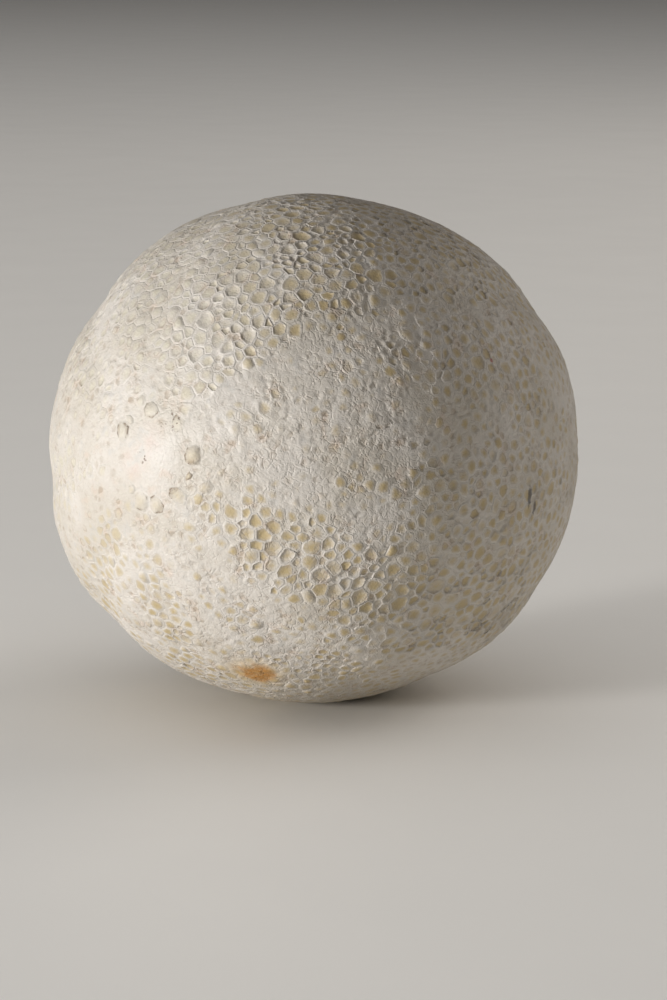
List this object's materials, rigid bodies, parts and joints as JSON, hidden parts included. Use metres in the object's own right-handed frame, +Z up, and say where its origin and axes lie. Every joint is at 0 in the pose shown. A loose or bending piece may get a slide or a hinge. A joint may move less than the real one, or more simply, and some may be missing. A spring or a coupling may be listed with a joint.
{
  "type": "cantaloupe melon",
  "caption": "Whole netted cantaloupe melon, nearly round with shallow sutures, resting on its side on a small flat spot.",
  "frame": {"origin": "on the ground, under the middle of the fruit's box", "axes": "+Z up; the blossom end faces -Y, tipped about 6 degrees above level, and the stem end faces +Y"},
  "size_m": [0.1498, 0.159, 0.147],
  "materials": {
    "rind": "pale beige corky net over a yellow-green to buff rind, satin sheen"
  },
  "bodies": {
    "root": {"melon": "rind"}
  },
  "joints": []
}
